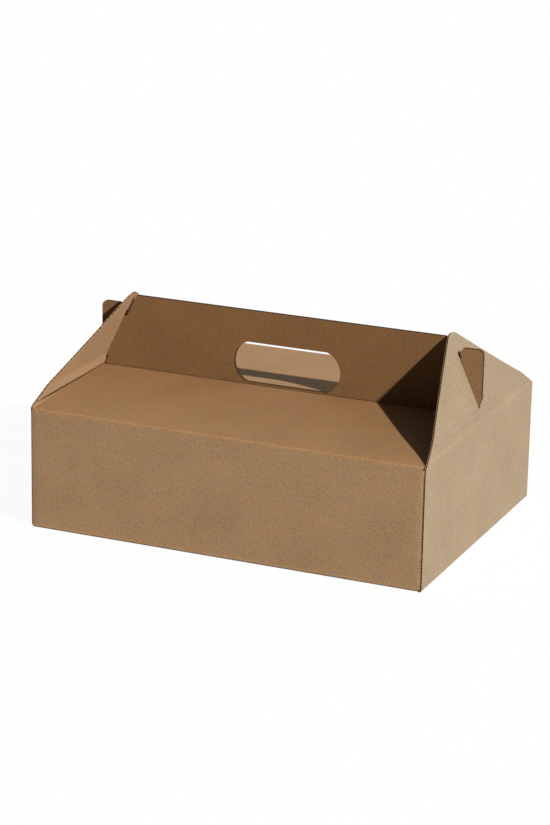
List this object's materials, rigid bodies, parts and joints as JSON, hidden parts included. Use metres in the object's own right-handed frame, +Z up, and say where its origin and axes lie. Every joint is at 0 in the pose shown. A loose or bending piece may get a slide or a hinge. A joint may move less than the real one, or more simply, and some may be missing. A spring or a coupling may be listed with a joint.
{
  "type": "carry box",
  "caption": "Low rectangular kraft corrugated box with an upright double handle, a hand hole and leaning gable flaps hooked on the handle's ears.",
  "frame": {"origin": "middle of the underside of the base", "axes": "+X along the handle to the right-hand end, +Y from the front wall to the rear wall, +Z up"},
  "size_m": [0.34, 0.256, 0.1738],
  "materials": {
    "kraft_board": "matte"
  },
  "bodies": {
    "carton": {"carton": "kraft_board"},
    "gable_left": {"gable_flap_left": "kraft_board"},
    "gable_right": {"gable_flap_right": "kraft_board"}
  },
  "joints": [
    {"name": "gable_left_crease", "type": "hinge", "parent": "carton", "child": "gable_left", "pos_m": [-0.17, 0, 0.108], "axis": [0, -1, 0], "range_deg": [0, 180]},
    {"name": "gable_right_crease", "type": "hinge", "parent": "carton", "child": "gable_right", "pos_m": [0.17, 0, 0.108], "axis": [0, 1, 0], "range_deg": [0, 180]}
  ]
}
